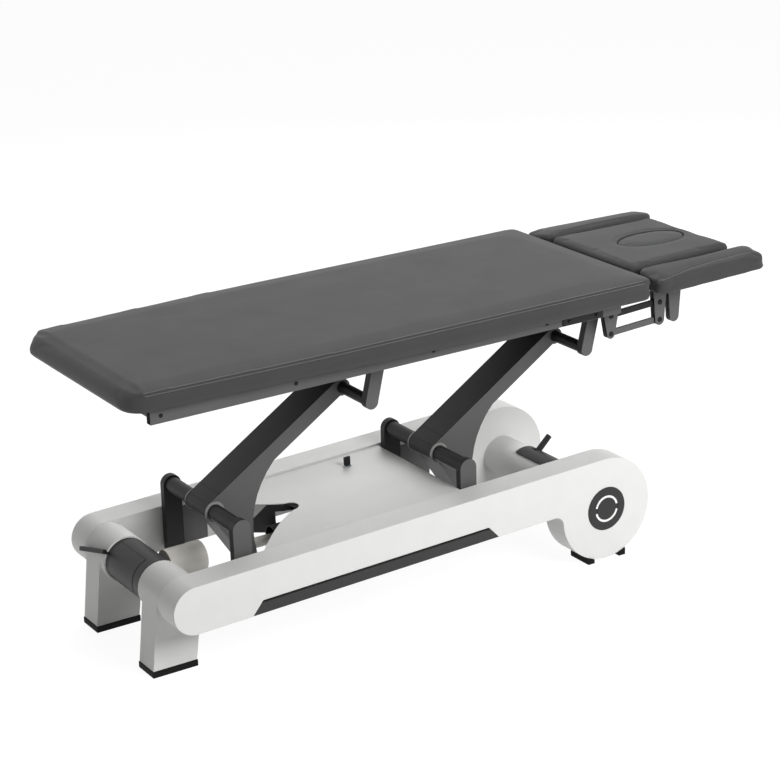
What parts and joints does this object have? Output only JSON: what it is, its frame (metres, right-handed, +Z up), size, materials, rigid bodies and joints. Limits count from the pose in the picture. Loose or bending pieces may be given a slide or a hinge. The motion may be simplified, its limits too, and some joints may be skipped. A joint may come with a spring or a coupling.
{
  "type": "electric massage table",
  "caption": "Height-adjustable massage table: white base on legs and round wheel housings, parallel lifting arms, padded top with tilting head section and drop armrests.",
  "frame": {"origin": "on the floor below the middle of the table's box", "axes": "+X to the head end, +Y to the far side, +Z up"},
  "size_m": [2.054, 0.664, 0.8256],
  "materials": {
    "white_cover": "satin white moulded cover",
    "white_paint": "satin white powder coat",
    "dark_steel": "satin dark grey powder coat",
    "black_steel": "satin black powder coat",
    "black_plastic": "matt black",
    "rubber": "matt",
    "leather": "matt anthracite synthetic leather",
    "bright_metal": "bright",
    "key_black": "matt black"
  },
  "bodies": {
    "base": {"cross_beam": "dark_steel", "deck": "white_paint", "far_hub_cap": "black_plastic", "far_rubber_foot": "rubber", "far_side_cover": "white_cover", "far_stand_bar_foot": "rubber", "far_stand_bar_head": "rubber", "foot_cross_tube": "white_paint", "foot_pivot_tube": "dark_steel", "foot_post_far": "dark_steel", "foot_post_near": "dark_steel", "foot_sleeve": "black_plastic", "head_cross_tube": "white_paint", "head_pivot_tube": "dark_steel", "head_post_far": "dark_steel", "head_post_near": "dark_steel", "head_saddle": "black_plastic", "key_switch": "bright_metal", "near_hub_cap": "black_plastic", "near_rubber_foot": "rubber", "near_side_cover": "white_cover", "near_stand_bar_foot": "rubber", "near_stand_bar_head": "rubber", "opening_wall": "black_plastic", "spine_tube": "white_paint"},
    "near_control": {"near_control_bar": "dark_steel"},
    "far_control": {"far_control_bar": "dark_steel"},
    "pedal": {"foot_pedal": "black_steel"},
    "lever": {"head_lever": "black_steel"},
    "key": {"key": "key_black"},
    "lift_arm": {"foot_arm": "dark_steel"},
    "guide_arm": {"head_arm": "dark_steel"},
    "drive_body": {"drive_tube": "black_plastic"},
    "drive_slider": {"drive_rod": "white_paint"},
    "top": {"near_rail": "dark_steel", "far_rail": "dark_steel", "end_crossbar": "dark_steel", "middle_crossbar": "dark_steel", "head_crossbar": "dark_steel", "accessory_plate": "black_steel", "main_cushion": "leather", "foot_hanger_near": "dark_steel", "foot_hanger_far": "dark_steel", "head_hanger_near": "dark_steel", "head_hanger_far": "dark_steel", "foot_upper_tube": "dark_steel", "head_upper_tube": "dark_steel", "near_armrest_bracket": "dark_steel", "far_armrest_bracket": "dark_steel"},
    "head_rest": {"head_frame": "dark_steel", "head_pad": "leather"},
    "plug": {"face_plug": "leather"},
    "near_armrest_lower": {"near_lower_link": "dark_steel"},
    "near_armrest_upper": {"near_upper_link": "black_steel"},
    "near_armrest": {"near_armrest_carrier": "dark_steel", "near_armrest_pad": "leather"},
    "far_armrest_lower": {"far_lower_link": "dark_steel"},
    "far_armrest_upper": {"far_upper_link": "black_steel"},
    "far_armrest": {"far_armrest_carrier": "dark_steel", "far_armrest_pad": "leather"}
  },
  "joints": [
    {"name": "lift", "type": "hinge", "parent": "base", "child": "lift_arm", "pos_m": [-0.673, 0, 0.346], "axis": [0, -1, 0], "range_deg": [-32, 18]},
    {"name": "guide_arm_hinge", "type": "hinge", "parent": "base", "child": "guide_arm", "pos_m": [0.042, 0, 0.346], "axis": [0, -1, 0], "range_deg": [-32, 18]},
    {"name": "top_level", "type": "hinge", "parent": "lift_arm", "child": "top", "pos_m": [-0.26311, 0, 0.60713], "axis": [0, -1, 0], "range_deg": [-18, 32]},
    {"name": "drive_body_tilt", "type": "hinge", "parent": "base", "child": "drive_body", "pos_m": [-0.08, 0, 0.205], "axis": [0, -1, 0], "range_deg": [-2.8, 4.97]},
    {"name": "drive_rod_pivot", "type": "hinge", "parent": "lift_arm", "child": "drive_slider", "pos_m": [-0.56816, 0, 0.19818], "axis": [0, -1, 0], "range_deg": [-20.8, 37]},
    {"name": "head_tilt", "type": "hinge", "parent": "top", "child": "head_rest", "pos_m": [0.603, 0, 0.742], "axis": [0, -1, 0], "range_deg": [-40, 20]},
    {"name": "plug_lift", "type": "slide", "parent": "head_rest", "child": "plug", "axis": [0, 0, 1], "range_m": [0, 0.06]},
    {"name": "pedal_press", "type": "hinge", "parent": "base", "child": "pedal", "pos_m": [-0.86592, 0, 0.20472], "axis": [0, -1, 0], "range_deg": [0, 12]},
    {"name": "lever_swing", "type": "hinge", "parent": "base", "child": "lever", "pos_m": [0.447, 0, 0.157], "axis": [0, 1, 0], "range_deg": [0, 20]},
    {"name": "key_turn", "type": "hinge", "parent": "base", "child": "key", "pos_m": [-0.14008, 0.14, 0.29015], "axis": [-0.0288, 0, 0.9996], "range_deg": [0, 90]},
    {"name": "near_control_press", "type": "slide", "parent": "base", "child": "near_control", "axis": [0, 1, 0], "range_m": [0, 0.003], "stiffness_N_per_m": 1500},
    {"name": "near_armrest_drop", "type": "hinge", "parent": "top", "child": "near_armrest_lower", "pos_m": [0.502, -0.24, 0.654], "axis": [0, 1, 0], "range_deg": [0, 32]},
    {"name": "near_armrest_guide", "type": "hinge", "parent": "top", "child": "near_armrest_upper", "pos_m": [0.502, -0.24, 0.706], "axis": [0, 1, 0], "range_deg": [0, 32]},
    {"name": "near_armrest_level", "type": "hinge", "parent": "near_armrest_lower", "child": "near_armrest", "pos_m": [0.676, -0.24, 0.662], "axis": [0, 1, 0], "range_deg": [-32, 0]},
    {"name": "far_control_press", "type": "slide", "parent": "base", "child": "far_control", "axis": [0, -1, 0], "range_m": [0, 0.003], "stiffness_N_per_m": 1500},
    {"name": "far_armrest_drop", "type": "hinge", "parent": "top", "child": "far_armrest_lower", "pos_m": [0.502, 0.24, 0.654], "axis": [0, 1, 0], "range_deg": [0, 32]},
    {"name": "far_armrest_guide", "type": "hinge", "parent": "top", "child": "far_armrest_upper", "pos_m": [0.502, 0.24, 0.706], "axis": [0, 1, 0], "range_deg": [0, 32]},
    {"name": "far_armrest_level", "type": "hinge", "parent": "far_armrest_lower", "child": "far_armrest", "pos_m": [0.676, 0.24, 0.662], "axis": [0, 1, 0], "range_deg": [-32, 0]}
  ],
  "couplings": [
    {"joint": "guide_arm_hinge", "follows": "lift", "ratio": 1},
    {"joint": "top_level", "follows": "lift", "ratio": -1},
    {"joint": "drive_body_tilt", "follows": "lift", "ratio": -0.155},
    {"joint": "drive_rod_pivot", "follows": "lift", "ratio": -1.155},
    {"joint": "near_armrest_guide", "follows": "near_armrest_drop", "ratio": 1},
    {"joint": "near_armrest_level", "follows": "near_armrest_drop", "ratio": -1},
    {"joint": "far_armrest_guide", "follows": "far_armrest_drop", "ratio": 1},
    {"joint": "far_armrest_level", "follows": "far_armrest_drop", "ratio": -1}
  ]
}
